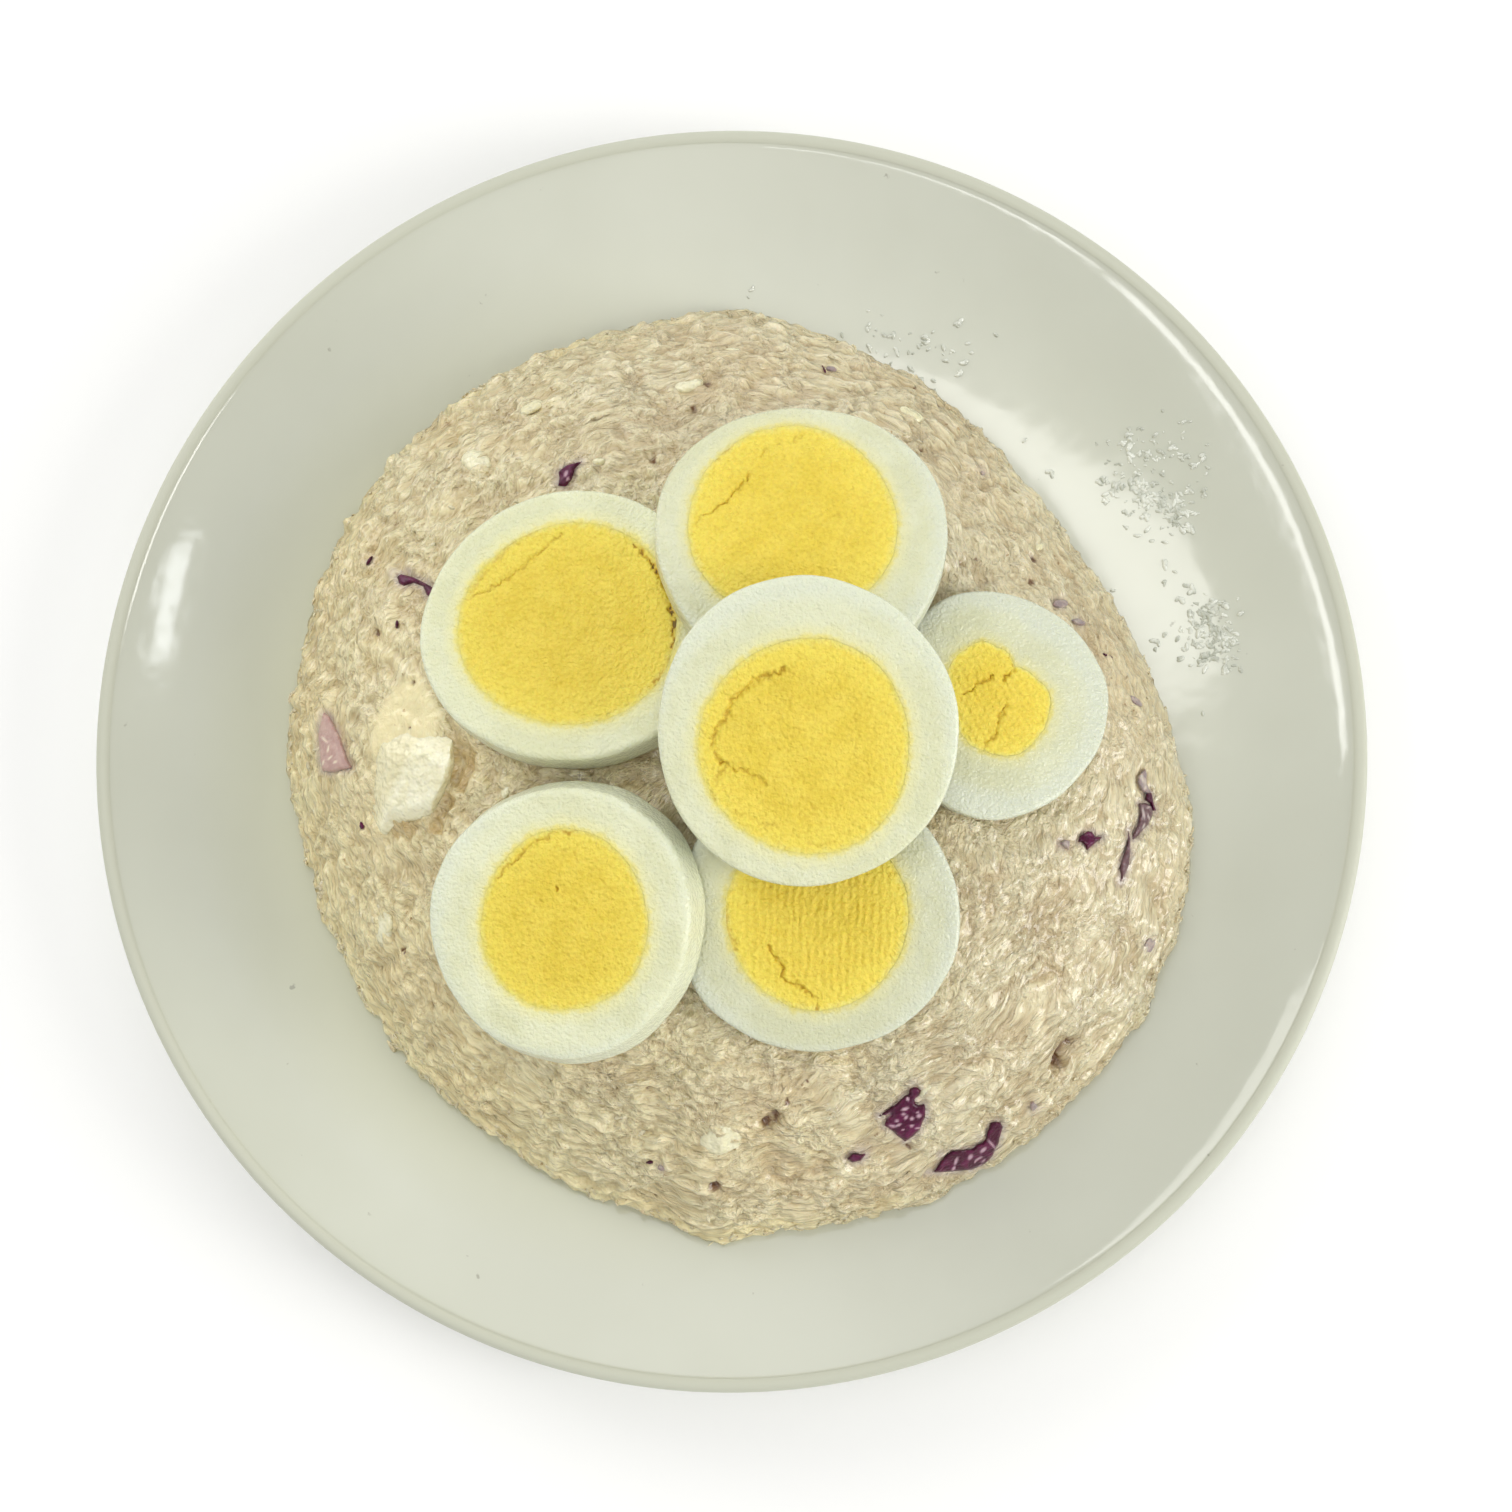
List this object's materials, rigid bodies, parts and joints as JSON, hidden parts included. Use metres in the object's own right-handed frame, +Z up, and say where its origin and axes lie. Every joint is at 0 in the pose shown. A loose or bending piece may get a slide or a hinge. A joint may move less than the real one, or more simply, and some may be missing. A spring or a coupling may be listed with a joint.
{
  "type": "tuna and egg salad on a plate",
  "caption": "Rounded heap of flaked tuna salad with bits of red onion, topped with overlapping slices of boiled egg, on a round coupe plate.",
  "frame": {"origin": "centre of the plate's foot ring, on the surface that the plate stands on", "axes": "+Z up, +X to the right and +Y away from the viewer, as the salad is seen in the picture from above"},
  "size_m": [0.203, 0.203, 0.0564],
  "materials": {
    "plate_glaze": "smooth glossy off-white glaze on fired clay",
    "tuna_salad": "moist, finely flaked, soft satin",
    "egg_white": "smooth moist satin",
    "egg_yolk": "crumbly matte",
    "red_onion": "moist dark purple skin",
    "pale_onion": "moist pale pink flesh"
  },
  "bodies": {
    "root": {"plate": "plate_glaze", "salad": "tuna_salad", "egg_chunk": "egg_white", "egg_white_upper_left": "egg_white", "egg_white_bottom": "egg_white", "egg_white_right": "egg_white", "egg_white_top": "egg_white", "egg_white_lower_left": "egg_white", "egg_white_centre": "egg_white", "egg_yolk_upper_left": "egg_yolk", "egg_yolk_bottom": "egg_yolk", "egg_yolk_right": "egg_yolk", "egg_yolk_top": "egg_yolk", "egg_yolk_lower_left": "egg_yolk", "egg_yolk_centre": "egg_yolk", "onion_top": "red_onion", "onion_upper_left": "red_onion", "onion_left": "pale_onion", "onion_front": "red_onion", "onion_front_right": "red_onion", "onion_right": "red_onion", "onion_right_low": "red_onion"}
  },
  "joints": []
}
